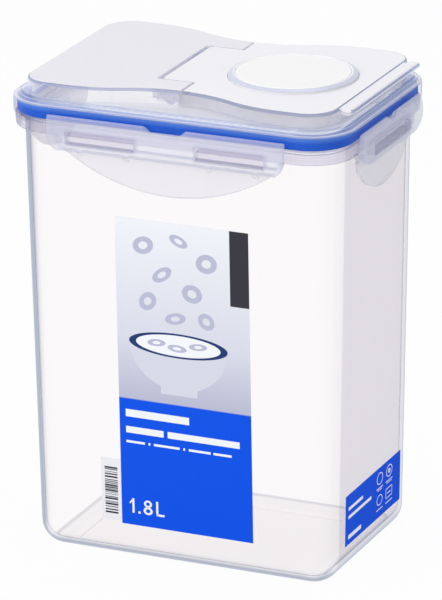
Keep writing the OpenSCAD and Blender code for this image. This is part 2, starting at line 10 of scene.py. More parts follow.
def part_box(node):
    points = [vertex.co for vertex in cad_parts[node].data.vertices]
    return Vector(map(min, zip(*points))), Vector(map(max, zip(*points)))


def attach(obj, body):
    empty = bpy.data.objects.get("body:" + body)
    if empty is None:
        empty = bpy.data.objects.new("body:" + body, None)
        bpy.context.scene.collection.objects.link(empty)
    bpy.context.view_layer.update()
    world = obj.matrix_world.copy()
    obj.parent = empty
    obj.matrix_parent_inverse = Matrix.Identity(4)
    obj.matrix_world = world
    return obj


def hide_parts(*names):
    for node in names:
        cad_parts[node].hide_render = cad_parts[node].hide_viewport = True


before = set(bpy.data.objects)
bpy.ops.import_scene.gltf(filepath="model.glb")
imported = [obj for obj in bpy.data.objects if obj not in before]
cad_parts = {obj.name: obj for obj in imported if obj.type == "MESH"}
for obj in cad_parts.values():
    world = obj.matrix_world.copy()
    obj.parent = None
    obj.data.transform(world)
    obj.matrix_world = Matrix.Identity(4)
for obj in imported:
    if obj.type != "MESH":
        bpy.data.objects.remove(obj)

bl_info = {
    "name": "Flip-spout keeper",
    "version": (1, 1, 0),
    "blender": (4, 5, 0),
    "location": "View3D > Sidebar > Keeper",
    "description": "Dresses a tall food keeper: clear tub, frosted lid and flaps, gasket, cap and labels",
    "category": "Add Mesh",
}

MM = 0.001

# The keeper's outline and heights in millimetres, as in the CAD model. Profiles are drawn in (u, z):
# u is the distance outwards from the outline of the lid's rim.
RIM_HX, RIM_HY, RIM_R = 73.5, 51.0, 19.1
SEAT_Z, LIP_Z, CEILING_Z, DECK_Z = 185.6, 188.4, 191.6, 194.4
WALL_IN, WALL_T, FLOOR_T, FOOT_R = 4.4, 1.6, 2.2, 10.0
LEAN = math.tan(math.radians(1.1))
SPOUT_X = 32.7

# Two catches stand CATCH_X to either side of the middle at the front and the back, and one longer catch
# at the middle of each side
CATCH_X, CATCH_LENGTH, SIDE_CATCH_LENGTH = 27.9, 29.2, 40.0

# Heights at which looks change: the tub's wall into its flange, the lid's and the cap's walls into their
# tops, and a flap's thin tongue into its thicker box
FLANGE_FROM = 180.0
WALLS_TO, TOP_FROM = 199.6, 200.2
BELOW_FLAPS, TONGUE_TO, BOX_FROM, ABOVE_FLAPS = 160.0, 175.2, 176.2, 190.2

# The labels as (left, right, foot, head) on their walls, and the top of the front label's blue field.
# A film lies between FILM_FROM and LABEL_T in front of its wall, and the print starts sunk in the film.
FRONT_LABEL = (-25.2, 32.8, 16.1, 148.3)
SIDE_LABEL = (-26.9, 30.9, 13.3, 35.0)
BLUE_TOP = 71.2
FILM_FROM, LABEL_T, PRINT_SUNK = 0.02, 0.12, 0.02

# Material numbers of the tub's faces, and of the faces of the frosted pieces and the plug; the edge faces
# carry painted shade
OUTER, INNER, FLANGE = 0, 1, 2
PLAIN, SHADED_EDGES = 0, 1

# Scale of the faint unevenness in the plastics: of the tub, of the frosted pieces and of opaque ones
TUB_GRAIN, FROSTED_GRAIN, SOLID_GRAIN = 90.0, 140.0, 260.0


# ------------------------ sizes and colours

def length(name, text, value):
    """A length property in metres."""
    return FloatProperty(name=name, description=text, default=value, unit="LENGTH", subtype="DISTANCE")


def colour(name, text, value):
    """A colour property, written as the linear colour that the shader gets."""
    return FloatVectorProperty(name=name, description=text, default=value, subtype="COLOR",
                               size=3, min=0.0, max=1.0)


class KeeperSizes(bpy.types.PropertyGroup):
    """Sizes that only the dressed model has"""
    edge: length("Softened edge", "Radius of the softened edges of the moulded pieces", 0.25 * MM)
    art: length("Print thickness", "How far the label's print stands on its film", 0.03 * MM)


class KeeperColours(bpy.types.PropertyGroup):
    """Linear colours of the keeper's plastics, rubbers and printing inks"""
    haze: colour("Tub haze", "Colour of the faint haze in the tub's clear plastic", (0.90, 0.89, 0.91))
    frosted: colour("Frosted lid", "Colour of the frosted lid and cap", (0.96, 0.955, 0.985))
    lid_top: colour("Lid top", "Colour of the top of the lid's fixed half", (0.90, 0.89, 0.95))
    cap_top: colour("Cap top", "Colour of the flip cap's top", (0.91, 0.90, 0.95))
    flap: colour("Flap boxes", "Colour of the flaps where they are thick", (0.86, 0.875, 1.0))
    tongue: colour("Flap tongues", "Colour of the flaps' thin lower parts", (0.96, 0.955, 0.99))
    # Painted shade: this darker colour on the frosted pieces' rounded edges and leaning steps stands for
    # the shade along them
    edge: colour("Edge painted shade", "Colour of the rounded edges of the frosted pieces", (0.74, 0.78, 0.92))
    gasket: colour("Gasket", "Blue of the lid's gasket", (0.006, 0.100, 0.62))
    # Painted light: the gasket grows paler towards its upper edge
    gasket_painted_light: colour("Gasket top", "Paler blue along the gasket's upper edge", (0.12, 0.30, 0.78))
    seal: colour("Spout seal", "Dark blue of the ring round the pouring hole", (0.008, 0.018, 0.10))
    plug: colour("Plug", "White of the press disc and its plug", (0.90, 0.90, 0.91))
    # Painted shade: the darker colour of the disc's sunk ring and bevelled edge
    plug_painted_shade: colour("Disc edge", "Colour of the press disc's bevelled edge and ring", (0.60, 0.63, 0.76))
    paper: colour("Sticker", "White of the small sticker", (0.86, 0.86, 0.88))
    label_blue: colour("Label blue", "Blue of the labels' printed field", (0.0, 0.085, 0.80))
    label_sky: colour("Label sky", "Top of the label's pale field", (0.86, 0.88, 0.93))
    label_dusk: colour("Label dusk", "Foot of the label's pale field", (0.49, 0.51, 0.65))
    navy: colour("Navy print", "Dark blue of the printed bowl's rim", (0.010, 0.035, 0.16))
    ink: colour("Dark ink", "Dark grey of the label's strip and bars", (0.033, 0.030, 0.045))
    white_ink: colour("White ink", "White of the label's bars and number", (0.90, 0.92, 0.95))


class KeeperView(bpy.types.PropertyGroup):
    """Where the camera stands, as fitted to the photograph"""
    azimuth: FloatProperty(name="Azimuth", description="Turn of the camera round the keeper",
                           default=math.radians(24.159), subtype="ANGLE")
    elevation: FloatProperty(name="Elevation", description="Height of the camera as an angle",
                             default=math.radians(19.429), subtype="ANGLE")
    roll: FloatProperty(name="Roll", description="Roll of the camera about its line of sight",
                        default=math.radians(-0.59), subtype="ANGLE")
    distance: length("Distance", "From the aim to the camera", 2161.3 * MM)
    aim_height: length("Aim height", "Height of the aim on the keeper's axis", 95 * MM)
    aim_side: length("Aim to the right", "Shift of the aim along the picture's width", 0.139 * MM)
    aim_up: length("Aim upwards", "Shift of the aim along the picture's height", 5.877 * MM)
    lens: FloatProperty(name="Lens", description="Focal length in millimetres on a 24 mm high sensor",
                        default=212.83)


# ------------------------ materials

def new_material(name):
    """A material with an empty node tree; returns it with its tree and its output node."""
    mat = bpy.data.materials.new(name)
    mat.use_nodes = True
    tree = mat.node_tree
    tree.nodes.clear()
    out = tree.nodes.new("ShaderNodeOutputMaterial")
    return mat, tree, out


def node(tree, kind, values=None, **attributes):
    """A new node with attributes and plain input values set."""
    made = tree.nodes.new(kind)
    for key, value in attributes.items():
        setattr(made, key, value)
    for key, value in (values or {}).items():
        made.inputs[key].default_value = value
    return made


def rgba(value):
    """A colour with full opacity."""
    return (value[0], value[1], value[2], 1.0)


def moulded_bump(tree, scale, strength, distance):
    """A faint uneven surface, such as moulded plastic has; returns the bump's normal output."""
    place = node(tree, "ShaderNodeTexCoord")
    noise = node(tree, "ShaderNodeTexNoise", {"Scale": scale, "Detail": 3.0, "Roughness": 0.55})
    bump = node(tree, "ShaderNodeBump", {"Strength": strength, "Distance": distance})
    tree.links.new(place.outputs["Object"], noise.inputs["Vector"])
    tree.links.new(noise.outputs["Fac"], bump.inputs["Height"])
    return bump.outputs["Normal"]


def ramp(tree, source, stops):
    """A colour ramp from (place, colour) stops, fed by an output; returns its colour output."""
    made = tree.nodes.new("ShaderNodeValToRGB")
    elements = made.color_ramp.elements
    for element, (place, value) in ((elements[0], stops[0]), (elements[1], stops[-1])):
        element.position = place
        element.color = rgba(value)
    for place, value in stops[1:-1]:
        elements.new(place).color = rgba(value)
    tree.links.new(source, made.inputs["Fac"])
    return made.outputs["Color"]


def feed(tree, value, entry):
    """Sets an input to a number, or links it to an output."""
    if isinstance(value, float):
        entry.default_value = value
    else:
        tree.links.new(value, entry)


def combined(tree, operation, first, second):
    """Two value outputs combined by a Math node."""
    made = node(tree, "ShaderNodeMath", operation=operation)
    tree.links.new(first, made.inputs[0])
    tree.links.new(second, made.inputs[1])
    return made.outputs[0]


def mixed(tree, amount, first, second):
    """Two shader outputs mixed; amount is a number or an output."""
    made = node(tree, "ShaderNodeMixShader")
    feed(tree, amount, made.inputs["Fac"])
    tree.links.new(first, made.inputs[1])
    tree.links.new(second, made.inputs[2])
    return made.outputs[0]


def blended(tree, kind, amount, first, second):
    """Two colour outputs blended; amount is a number or an output."""
    made = node(tree, "ShaderNodeMix", data_type="RGBA", blend_type=kind)
    feed(tree, amount, made.inputs[0])
    tree.links.new(first, made.inputs[6])
    tree.links.new(second, made.inputs[7])
    return made.outputs[2]


def object_height(tree):
    """The height of a point of the keeper in metres."""
    place = node(tree, "ShaderNodeTexCoord")
    split = node(tree, "ShaderNodeSeparateXYZ")
    tree.links.new(place.outputs["Object"], split.inputs["Vector"])
    return split.outputs["Z"]


def over_height(tree, stops):
    """A colour or value that changes with the height: a ramp between the first and the last height, from
    (height in millimetres, colour) stops, each with its place as a share of that span."""
    low, high = stops[0][0], stops[-1][0]
    span = node(tree, "ShaderNodeMapRange", {"From Min": low * MM, "From Max": high * MM})
    tree.links.new(object_height(tree), span.inputs["Value"])
    return ramp(tree, span.outputs["Result"], [((z - low) / (high - low), value) for z, value in stops])


def upright_streaks(tree):
    """Faint upright waves, such as a moulded wall has along its draw; returns the bump's normal output."""
    place = node(tree, "ShaderNodeTexCoord")
    stretch = node(tree, "ShaderNodeMapping", {"Scale": (1.0, 1.0, 0.03)})
    waves = node(tree, "ShaderNodeTexNoise", {"Scale": 110.0, "Detail": 2.0, "Roughness": 0.5})
    bump = node(tree, "ShaderNodeBump", {"Strength": 0.35, "Distance": 0.25 * MM})
    tree.links.new(place.outputs["Object"], stretch.inputs["Vector"])
    tree.links.new(stretch.outputs["Vector"], waves.inputs["Vector"])
    tree.links.new(waves.outputs["Fac"], bump.inputs["Height"])
    return bump.outputs["Normal"]


def pale_haze(tree, base, rough, grain, lit_through):
    """The haze in clear plastic: a glossy body, with a share of it lit from behind. base is a colour, or
    (height, colour) stops."""
    body = node(tree, "ShaderNodeBsdfPrincipled", {"Roughness": rough, "IOR": 1.49, "Coat Weight": 0.6,
                                                   "Coat Roughness": 0.08})
    through = node(tree, "ShaderNodeBsdfTranslucent")
    if isinstance(base, list):
        shade = over_height(tree, base)
        tree.links.new(shade, body.inputs["Base Color"])
        tree.links.new(shade, through.inputs["Color"])
    else:
        body.inputs["Base Color"].default_value = rgba(base)
        through.inputs["Color"].default_value = rgba(base)
    tree.links.new(moulded_bump(tree, grain, 0.08, 0.2 * MM), body.inputs["Normal"])
    return mixed(tree, lit_through, body.outputs[0], through.outputs[0])


def surface_slant(tree, near, streaks):
    """How far a face is turned from the viewer, from 0 face on to 1 edge on. near is OUTER or INNER where
    only the wall on the viewer's side counts, and tells which of its two faces this is: the outer one
    shows its front there, and the inner one its back. streaks lets upright waves play in it."""
    weight = node(tree, "ShaderNodeLayerWeight", {"Blend": 0.5})
    if streaks:
        tree.links.new(upright_streaks(tree), weight.inputs["Normal"])
    slant = weight.outputs["Facing"]
    if near is None:
        return slant
    side = node(tree, "ShaderNodeNewGeometry")
    counted = node(tree, "ShaderNodeMapRange", {"To Min": 1.0 - near, "To Max": float(near)})
    tree.links.new(side.outputs["Backfacing"], counted.inputs["Value"])
    return combined(tree, "MULTIPLY", slant, counted.outputs["Result"])


def clear_plastic(name, base, share, edge_share, passed, rough, grain, near=None, rounds=None,
                  haze_over=None, painted_shade_over=None, streaks=False, lit_through=0.0):
    """Plastic that shows what is behind it. The share of pale haze grows with the slant of the surface,
    and so does the light that is lost in it: passed is a ramp over the slant, because a wall seen along
    its length has more plastic in the way. rounds is that ramp where the wall is rounded. haze_over holds
    (height, factor) stops for the haze, and painted_shade_over (height, colour) stops for the light that passes.
    The rest is as in pale_haze() and surface_slant()."""
    mat, tree, out = new_material(name)
    slant = surface_slant(tree, near, streaks)
    light = ramp(tree, slant, passed)
    if rounds is not None:
        bend = node(tree, "ShaderNodeAttribute", attribute_name="roundness")
        light = blended(tree, "MIX", bend.outputs["Fac"], light, ramp(tree, slant, rounds))
    # Stops over the height darken the light that passes: painted shade
    if painted_shade_over is not None:
        light = blended(tree, "MULTIPLY", 1.0, light, over_height(tree, painted_shade_over))
    clear = node(tree, "ShaderNodeBsdfTransparent")
    tree.links.new(light, clear.inputs["Color"])
    steep = node(tree, "ShaderNodeMath", {1: 2.6}, operation="POWER")
    haze = node(tree, "ShaderNodeMapRange", {"To Min": share, "To Max": edge_share})
    tree.links.new(slant, steep.inputs[0])
    tree.links.new(steep.outputs[0], haze.inputs["Value"])
    amount = haze.outputs["Result"]
    if haze_over is not None:
        factor = over_height(tree, [(z, (f, f, f)) for z, f in haze_over])
        amount = combined(tree, "MULTIPLY", amount, factor)
    milky = pale_haze(tree, base, rough, grain, lit_through)
    tree.links.new(mixed(tree, amount, clear.outputs[0], milky), out.inputs["Surface"])
    return mat


def solid_plastic(name, base, rough, shine=0.5, strength=0.06):
    """Opaque moulded plastic, rubber or print with a slight change of gloss over its surface."""
    mat, tree, out = new_material(name)
    body = node(tree, "ShaderNodeBsdfPrincipled", {"Base Color": rgba(base),
                                                   "Specular IOR Level": shine})
    place = node(tree, "ShaderNodeTexCoord")
    patches = node(tree, "ShaderNodeTexNoise", {"Scale": 35.0, "Detail": 2.0})
    gloss = node(tree, "ShaderNodeMapRange", {"To Min": rough - 0.05, "To Max": rough + 0.05})
    tree.links.new(place.outputs["Object"], patches.inputs["Vector"])
    tree.links.new(patches.outputs["Fac"], gloss.inputs["Value"])
    tree.links.new(gloss.outputs["Result"], body.inputs["Roughness"])
    tree.links.new(moulded_bump(tree, SOLID_GRAIN, strength, 0.1 * MM), body.inputs["Normal"])
    tree.links.new(body.outputs[0], out.inputs["Surface"])
    return mat


def tinted_over_height(mat, stops):
    """Gives an opaque material a colour over the height, from (height in millimetres, colour) stops."""
    tree = mat.node_tree
    body = next(n for n in tree.nodes if n.type == "BSDF_PRINCIPLED")
    tree.links.new(over_height(tree, stops), body.inputs["Base Color"])


def label_ink(name, base):
    """A printing ink, nearly matt."""
    return solid_plastic(name, base, 0.5, shine=0.2, strength=0.02)


def blend_of(first, second, share):
    """A colour between two, share of the way to the second."""
    return [(1 - share) * a + share * b for a, b in zip(first, second)]


# How much light passes a face, over its slant: the tub's outer and inner faces, its rounded corners and
# foot, its flange with the catches, the frosted plastic of the lid, cap and flaps, and their edges, whose
# ramp is darker as painted shade along the edges.
# Over the height, for the tub's floor: painted shade on the floor, and a thin painted dark line where it
# starts to curve upwards.
TUB_OUTER = [(0.0, (1.0, 0.993, 0.995)), (0.40, (0.99, 0.982, 0.988)), (0.52, (0.96, 0.95, 0.965)),
             (0.58, (0.82, 0.81, 0.85)), (0.65, (0.79, 0.78, 0.82)), (0.72, (0.74, 0.74, 0.79)),
             (0.84, (0.58, 0.61, 0.69)), (1.0, (0.36, 0.40, 0.52))]
TUB_INNER = [(0.0, (1.0, 0.993, 0.995)), (0.45, (0.99, 0.985, 0.988)), (0.65, (0.965, 0.955, 0.96)),
             (0.76, (0.82, 0.82, 0.86)), (1.0, (0.35, 0.39, 0.50))]
TUB_ROUNDS = [(0.0, (1.0, 0.993, 0.995)), (0.22, (0.975, 0.967, 0.975)), (0.32, (0.86, 0.855, 0.885)),
              (0.42, (0.64, 0.655, 0.72)), (0.50, (0.50, 0.535, 0.62)), (0.60, (0.39, 0.43, 0.53)),
              (0.78, (0.46, 0.51, 0.62)), (1.0, (0.50, 0.56, 0.68))]
FLOOR_PAINTED_SHADE = [(2.0, (0.93, 0.925, 0.925)), (2.6, (0.93, 0.925, 0.925)), (2.85, (0.76, 0.76, 0.79)),
             (3.25, (0.76, 0.76, 0.79)), (3.4, (1.0, 1.0, 1.0)), (4.2, (1.0, 1.0, 1.0))]
FLANGE_PASS = [(0.0, (0.91, 0.90, 0.955)), (0.55, (0.88, 0.87, 0.92)), (0.75, (0.70, 0.71, 0.81)),
               (1.0, (0.28, 0.33, 0.50))]
FROSTED_PASS = [(0.0, (0.985, 0.985, 0.992)), (0.65, (0.965, 0.965, 0.98)), (0.85, (0.75, 0.78, 0.87)),
                (1.0, (0.35, 0.42, 0.60))]
SHADED_EDGE_PASS = [(0.0, (0.62, 0.67, 0.82)), (0.65, (0.50, 0.56, 0.74)), (1.0, (0.30, 0.36, 0.56))]


# ------------------------ surfaces

def rounded(points, radii, steps=5):
    """An open line of points whose corners become arcs. Where the line turns by t at a corner, the arc of
    radius r starts r tan(t/2) before it, and its points lie at r (a sin f - n cos f) from its centre, for
    f from 0 to t: a is the direction before the corner and n the normal on the side it turns to."""
    points, radii = np.asarray(points, float), np.asarray(radii, float)
    step = np.diff(points, axis=0)
    along = step / np.linalg.norm(step, axis=1, keepdims=True)
    a, b, corner, r = along[:-1], along[1:], points[1:-1], radii[1:-1, None]
    cross = a[:, 0] * b[:, 1] - a[:, 1] * b[:, 0]
    turn = np.arctan2(np.abs(cross), (a * b).sum(axis=1))[:, None]
    normal = np.sign(cross)[:, None] * np.stack([-a[:, 1], a[:, 0]], axis=1)
    start = corner - a * r * np.tan(turn / 2)
    centre = start + normal * r
    f = (turn * np.linspace(0, 1, steps))[:, :, None]
    arcs = centre[:, None] + r[:, None] * (a[:, None] * np.sin(f) - normal[:, None] * np.cos(f))
    line = np.concatenate([points[:1], arcs.reshape(-1, 2), points[-1:]])
    keep = np.concatenate([[True], np.linalg.norm(np.diff(line, axis=0), axis=1) > 1e-4])
    return line[keep]


def rounded_loop(points, radius, steps=5):
    """A closed line of points with rounded corners, from rounded(); it starts halfway along a side."""
    points = np.asarray(points, float)
    middle = (points[:1] + points[-1:]) / 2
    line = rounded(np.concatenate([middle, points, middle]), np.full(len(points) + 2, radius), steps)
    return line[:-1]


def rim_rings(u, steps=14):
    """Rings of the keeper's rounded rectangle moved out by each u: quarter circles of radius RIM_R + u,
    but no less than 0.8, joined by the straight sides between them. (M,) gives (M, N, 2)."""
    u = np.asarray(u, float)[:, None]
    quarter = np.repeat(np.arange(4), steps + 1)
    angle = quarter * np.pi / 2 + np.tile(np.linspace(0, np.pi / 2, steps + 1), 4)
    side_x, side_y = np.array([1, -1, -1, 1])[quarter], np.array([1, 1, -1, -1])[quarter]
    radius = np.maximum(RIM_R + u, 0.8)
    return np.stack([side_x * (RIM_HX + u - radius) + radius * np.cos(angle),
                     side_y * (RIM_HY + u - radius) + radius * np.sin(angle)], axis=2)


def swept_round_rim(profile):
    """A (u, z) profile carried round the rim: a grid (M, N, 3), whose row i is profile point i."""
    ring = rim_rings(profile[:, 0])
    z = np.broadcast_to(profile[:, 1, None, None], ring.shape[:2] + (1,))
    return np.concatenate([ring, z], axis=2)


def turned(profile, x, steps=96):
    """An (r, z) profile turned round the upright line through (x, 0): a grid (M, N, 3)."""
    angle = np.linspace(0, 2 * np.pi, steps, endpoint=False)
    r = profile[:, 0, None]
    return np.stack([x + r * np.cos(angle), r * np.sin(angle),
                     np.broadcast_to(profile[:, 1, None], (len(profile), steps))], axis=2)


def grid_faces(rows, cols, closed=False):
    """Quads of a grid that wraps round its columns, and round its rows as well where closed."""
    i = np.arange(rows if closed else rows - 1)[:, None]
    j = np.arange(cols)[None]
    k, n = (i + 1) % rows, (j + 1) % cols
    return np.stack([i * cols + j, i * cols + n, k * cols + n, k * cols + j], axis=2).reshape(-1, 4)


def shell(grid, closed=False, material=0):
    """A part for assemble(): the grid's quads, with flat caps on its first and last row where open.
    material is one number, or one for each row of quads."""
    rows, cols = grid.shape[:2]
    faces = grid_faces(rows, cols, closed)
    per_row = np.broadcast_to(material, (len(faces) // cols,))
    paint = np.repeat(per_row, cols)
    faces = faces.tolist()
    if not closed:
        faces += [list(range(cols)), list(range((rows - 1) * cols, rows * cols))]
        paint = np.concatenate([paint, [per_row[0], per_row[-1]]])
    return grid.reshape(-1, 3), faces, paint


def assemble(name, parts, sharp=38.0):
    """One object from parts of (points in millimetres, faces, material numbers): doubles are merged, the
    faces are turned outwards, and normals are weighted by area so that flat faces look flat."""
    starts = np.cumsum([0] + [len(p[0]) for p in parts])
    points = np.concatenate([p[0] for p in parts]) * MM
    faces = [[int(v) + int(s) for v in face] for p, s in zip(parts, starts) for face in p[1]]
    mesh = bpy.data.meshes.new(name)
    mesh.from_pydata(points.tolist(), [], faces)
    mesh.polygons.foreach_set("material_index", np.concatenate([p[2] for p in parts]).astype(np.int32))
    work = bmesh.new()
    work.from_mesh(mesh)
    bmesh.ops.remove_doubles(work, verts=work.verts, dist=2e-6)
    bmesh.ops.recalc_face_normals(work, faces=work.faces)
    for face in work.faces:
        face.smooth = True
    work.to_mesh(mesh)
    work.free()
    return finished_object(name, mesh, sharp)


def finished_object(name, mesh, sharp, edge=0.0):
    """Links a mesh as an object, with a narrow bevel where edge is given, and area-weighted normals."""
    mesh.set_sharp_from_angle(angle=math.radians(sharp))
    piece = bpy.data.objects.new(name, mesh)
    bpy.context.scene.collection.objects.link(piece)
    if edge > 0:
        bevel = piece.modifiers.new("Edge", "BEVEL")
        bevel.width = edge
        bevel.segments = 2
        bevel.limit_method = "ANGLE"
        bevel.angle_limit = math.radians(sharp)
        bevel.use_clamp_overlap = True
        # The bevel's faces take the edge material, whose darker colour is painted shade along the edges
        bevel.material = SHADED_EDGES
    weighted = piece.modifiers.new("Weighted", "WEIGHTED_NORMAL")
    weighted.keep_sharp = True
    return piece


def softened_copy(name, source, width, slopes=PLAIN):
    """A copy of a CAD node with its loose triangles merged and its flat areas joined, and a narrow
    rounded bevel on every sharp edge. Faces whose normal is neither level nor upright, such as rounded
    edges and leaning steps, get the material number slopes."""
    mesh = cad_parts[source].data.copy()
    mesh.materials.clear()
    work = bmesh.new()
    work.from_mesh(mesh)
    bmesh.ops.remove_doubles(work, verts=work.verts, dist=1e-6)
    bmesh.ops.dissolve_limit(work, angle_limit=math.radians(0.4), verts=work.verts, edges=work.edges)
    for face in work.faces:
        face.smooth = True
        # Sloping faces take the slopes material; for the lid and cap it is the edge one, with its painted
        # shade
        face.material_index = slopes if 0.12 < face.normal.z < 0.97 else PLAIN
    work.to_mesh(mesh)
    work.free()
    return finished_object(name, mesh, 35.0, width)


def dress(piece, body, slot, *materials):
    """Gives a piece its materials and its body. slot is not used."""
    for material in materials:
        piece.data.materials.append(material)
    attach(piece, body)


# ------------------------ the tub's surfaces

def wall_u(z, inset=0.0):
    """Offset of the tub's leaning wall at a height, drawn in by inset."""
    return -WALL_IN - inset - (SEAT_Z - z) * LEAN


def tub_profile():
    """Half section of the tub: from the hollow under its floor round the foot and up the leaning wall,
    round the flange with its bead and grooves, over the lip, and down the inner wall to the floor."""
    line = [(-21.96, 0.6, 0), (-21.96, 0, 0.25), (wall_u(0), 0, FOOT_R),
            (wall_u(184.2), 184.2, 0.5), (-2.1, 184.2, 0.4), (-2.1, 180.4, 0.3), (-0.9, 180.4, 0.4),
            (-0.9, 182.4, 0.06), (-0.7, 182.4, 0.06), (-0.7, 183.7, 0.06), (-0.9, 183.7, 0.06),
            (-0.9, 184.5, 0.06), (-0.7, 184.5, 0.06), (-0.7, SEAT_Z, 0.45), (-WALL_IN, SEAT_Z, 0.3),
            (-WALL_IN, LIP_Z, 0.6), (wall_u(LIP_Z, WALL_T), LIP_Z, 0.6),
            (wall_u(FLOOR_T, WALL_T), FLOOR_T, 8.4), (-18.4, FLOOR_T, 0)]
    line = np.array(line)
    return rounded(line[:, :2], line[:, 2], 9)


def catch_grid(middle, length_mm, side):
    """A catch as a prism along one side: its rounded (u, z) section at four places along its length, the
    outer two drawn in towards the section's middle. side is 0 front, 1 right, 2 back, 3 left."""
    section = rounded_loop([(-1.8, 178.0), (2.1, 178.0), (2.1, 181.0), (-1.8, 182.75)], 0.35, 4)
    centre = section.mean(axis=0)
    shrink = np.array([0.86, 1.0, 1.0, 0.86])[:, None, None]
    section = centre + (section[None] - centre) * shrink
    along = middle + length_mm * np.array([-0.5, -0.488, 0.488, 0.5])[:, None]
    along = np.broadcast_to(along, section.shape[:2])
    reach = section[:, :, 0] + (RIM_HX if side % 2 else RIM_HY)
    x, y = [(along, -reach), (reach, along), (-along, reach), (-reach, -along)][side]
    return np.stack([x, y, section[:, :, 1]], axis=2)


class KEEPER_OT_tub(bpy.types.Operator):
    """The clear tub with its flange and catches"""
    bl_idname = "keeper.tub"
    bl_label = "Tub"

    def execute(self, context):
        colours = context.scene.keeper_colours
        outer = clear_plastic("Clear tub plastic", colours.haze, 0.012, 0.14, TUB_OUTER, 0.20, TUB_GRAIN,
                              near=OUTER, rounds=TUB_ROUNDS, streaks=True)
        # The inside gets painted shade on the tub's floor and a painted dark line where the floor curves up
        inner = clear_plastic("Clear tub inside", colours.haze, 0.01, 0.08, TUB_INNER, 0.24, TUB_GRAIN,
                              near=INNER, painted_shade_over=FLOOR_PAINTED_SHADE)
        flange = clear_plastic("Clear flange plastic", colours.frosted, 0.10, 0.60, FLANGE_PASS, 0.18,
                               TUB_GRAIN, lit_through=0.4)
        profile = tub_profile()
        start = profile[:-1]
        inside = np.arange(len(start)) > np.argmax(profile[:, 1])
        rim = ~inside & (start[:, 1] > FLANGE_FROM)
        faces = np.where(rim, FLANGE, np.where(inside, INNER, OUTER))
        parts = [shell(swept_round_rim(profile), material=faces)]
        for side in (0, 2):
            parts += [shell(catch_grid(middle, CATCH_LENGTH, side), material=FLANGE)
                      for middle in (-CATCH_X, CATCH_X)]
        parts += [shell(catch_grid(0.0, SIDE_CATCH_LENGTH, side), material=FLANGE) for side in (1, 3)]
        piece = assemble("Tub_shell", parts)
        self.mark_rounds(piece.data)
        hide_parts("tub")
        dress(piece, "tub", "clear_tub", outer, inner, flange)
        return {"FINISHED"}

    def mark_rounds(self, mesh):
        """Writes how rounded the tub is at each point: the fourth power of sin(2a), with a the angle round
        an upright corner, or up the rounded foot, whichever gives more. A rounded wall bends more light
        away."""
        place = np.empty(len(mesh.vertices) * 3, np.float32)
        mesh.vertices.foreach_get("co", place)
        x, y, z = place.reshape(-1, 3).T / MM
        past_x = np.maximum(np.abs(x) - (RIM_HX - RIM_R), 0.0)
        past_y = np.maximum(np.abs(y) - (RIM_HY - RIM_R), 0.0)
        corner = np.sin(2 * np.arctan2(past_y, past_x)) ** 4
        foot = np.sin(2 * np.arccos(1 - np.clip(z, 0.0, FOOT_R) / FOOT_R)) ** 4
        bend = mesh.attributes.new("roundness", "FLOAT", "POINT")
        bend.data.foreach_set("value", np.maximum(corner, foot).astype(np.float32))


# ------------------------ lid, cap and flaps

class KEEPER_OT_lid(bpy.types.Operator):
    """The frosted lid, its gasket and the ring round the pouring hole"""
    bl_idname = "keeper.lid"
    bl_label = "Lid, gasket and seal"

    def execute(self, context):
        colours = context.scene.keeper_colours
        sizes = context.scene.keeper_sizes
        rim_and_walls = [(CEILING_Z, 0.04), (191.9, 1.9), (192.6, 1.9), (193.2, 1.3), (WALLS_TO, 1.3)]
        pale = [(CEILING_Z, colours.frosted), (WALLS_TO, colours.frosted), (TOP_FROM, colours.lid_top)]
        frosted = clear_plastic("Frosted lid plastic", pale, 0.18, 1.0, FROSTED_PASS, 0.24, FROSTED_GRAIN,
                                haze_over=rim_and_walls + [(TOP_FROM, 2.1)], lit_through=0.2)
        # The edge material paints shade on the lid's rounded edges and leaning steps
        edges = clear_plastic("Lid edge painted shade", colours.edge, 0.22, 0.7, SHADED_EDGE_PASS, 0.14, FROSTED_GRAIN,
                              haze_over=rim_and_walls + [(TOP_FROM, 0.5)], lit_through=0.2)
        lid = softened_copy("Lid_shell", "lid", sizes.edge, slopes=SHADED_EDGES)
        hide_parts("lid")
        dress(lid, "lid", "frosted_lid", frosted, edges)
        self.gasket(colours)
        self.seal(colours)
        return {"FINISHED"}

    def gasket(self, colours):
        """The gasket: an L of a block over the tub's lip and a leg outside it, carried round the rim."""
        corners = [(-6.25, 188.7), (-3.05, 188.7), (-3.05, 186.2), (-1.55, 186.2), (-1.55, 191.55),
                   (-6.25, 191.55)]
        grid = swept_round_rim(rounded_loop(corners, 0.4))
        gasket = assemble("Lid_gasket", [shell(grid, closed=True)])
        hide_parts("lid_gasket")
        rubber = solid_plastic("Blue gasket rubber", colours.gasket, 0.42, shine=0.15)
        # Painted light: the blue turns paler from the middle of the gasket up to its upper edge
        tinted_over_height(rubber, [(186.2, colours.gasket), (189.0, colours.gasket),
                                    (191.5, colours.gasket_painted_light)])
        dress(gasket, "lid", "blue_gasket", rubber)

    def seal(self, colours):
        """The seal: a sleeve in the pouring hole with a flange above the deck and one below it."""
        corners = [(20.5, 191.4), (23.1, 191.4), (23.1, 192.55), (21.95, 192.55), (21.95, DECK_Z),
                   (24.2, DECK_Z), (24.2, 196.0), (20.5, 196.0)]
        seal = assemble("Spout_seal_ring", [shell(turned(rounded_loop(corners, 0.3, 4), SPOUT_X),
                                                  closed=True)])
        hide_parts("spout_seal")
        dress(seal, "lid", "navy_seal",
              solid_plastic("Navy seal rubber", colours.seal, 0.40, shine=0.3))


